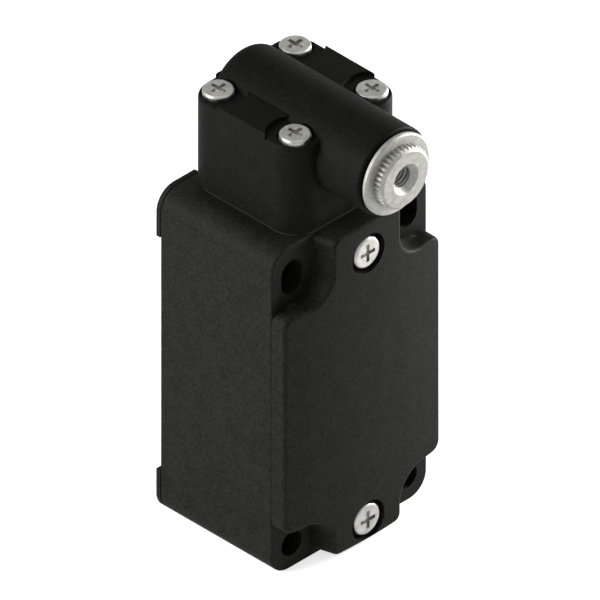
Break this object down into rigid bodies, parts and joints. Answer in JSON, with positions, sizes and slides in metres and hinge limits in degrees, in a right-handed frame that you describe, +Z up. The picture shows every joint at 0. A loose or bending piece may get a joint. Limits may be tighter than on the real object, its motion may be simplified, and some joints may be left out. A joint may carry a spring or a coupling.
{
  "type": "position switch",
  "caption": "Moulded position switch with a revolving-shaft head: the shaft's cam slides a tappet and a contact carrier; conduit entry below, fixing holes through the corners, no lever.",
  "frame": {"origin": "centre of the conduit entry, in the bottom face of the housing", "axes": "+Z up through the housing to the head, -Y to the front: cover and shaft end, X across the width"},
  "size_m": [0.0406, 0.0449, 0.0964],
  "materials": {
    "black_plastic": "fine-textured black moulding",
    "black_cover": "fine-textured black moulding",
    "black_head": "fine-textured black moulding, darker than the housing",
    "seal_rubber": "matt black rubber",
    "zinc_steel": "zinc-plated steel",
    "shaft_metal": "satin die-cast and turned zinc alloy",
    "bush_bronze": "plain bronze",
    "cam_metal": "sintered metal",
    "tappet_plastic": "white acetal",
    "guide_plastic": "dark grey moulding",
    "block_plastic": "pale grey moulding",
    "lid_plastic": "grey moulding",
    "carrier_plastic": "red moulding",
    "contact_metal": "bright brass",
    "bridge_metal": "silver-tipped brass",
    "spring_steel": "bright spring wire"
  },
  "bodies": {
    "housing": {"base_housing": "black_plastic", "front_cover": "black_cover", "cover_gasket": "seal_rubber", "cover_screws": "zinc_steel", "head_housing": "black_head", "head_gasket": "seal_rubber", "head_screws": "zinc_steel", "shaft_bush": "bush_bronze", "shaft_seal": "seal_rubber", "return_spring": "spring_steel", "tappet_guide": "guide_plastic", "tappet_seal": "seal_rubber", "tappet_spring": "spring_steel", "contact_block": "block_plastic", "contact_lid": "lid_plastic", "block_screws": "zinc_steel", "fixed_contacts": "contact_metal", "clamp_plates": "zinc_steel", "terminal_screws": "zinc_steel", "carrier_spring": "spring_steel"},
    "shaft": {"shaft": "shaft_metal", "shaft_clip": "spring_steel", "cam": "cam_metal", "cam_pin": "spring_steel"},
    "tappet": {"tappet": "tappet_plastic"},
    "carrier": {"contact_carrier": "carrier_plastic", "upper_bridge": "bridge_metal", "lower_bridge": "bridge_metal", "bridge_springs": "spring_steel"}
  },
  "joints": [
    {"name": "shaft_turn", "type": "hinge", "parent": "housing", "child": "shaft", "pos_m": [0, -0.0025, 0.0874], "axis": [0, 1, 0], "range_deg": [-75, 75], "stiffness_Nm_per_rad": 0.08, "deforming": ["return_spring"]},
    {"name": "tappet_slide", "type": "slide", "parent": "housing", "child": "tappet", "axis": [0, 0, -1], "range_m": [-0.0015, 0.0015], "deforming": ["tappet_spring"]},
    {"name": "carrier_slide", "type": "slide", "parent": "housing", "child": "carrier", "axis": [0, 0, -1], "range_m": [-0.0015, 0.0015], "deforming": ["carrier_spring"]}
  ],
  "couplings": [
    {"joint": "tappet_slide", "follows": "shaft_turn", "m_per_rad": 0.0011459},
    {"joint": "carrier_slide", "follows": "shaft_turn", "m_per_rad": 0.0011459}
  ]
}
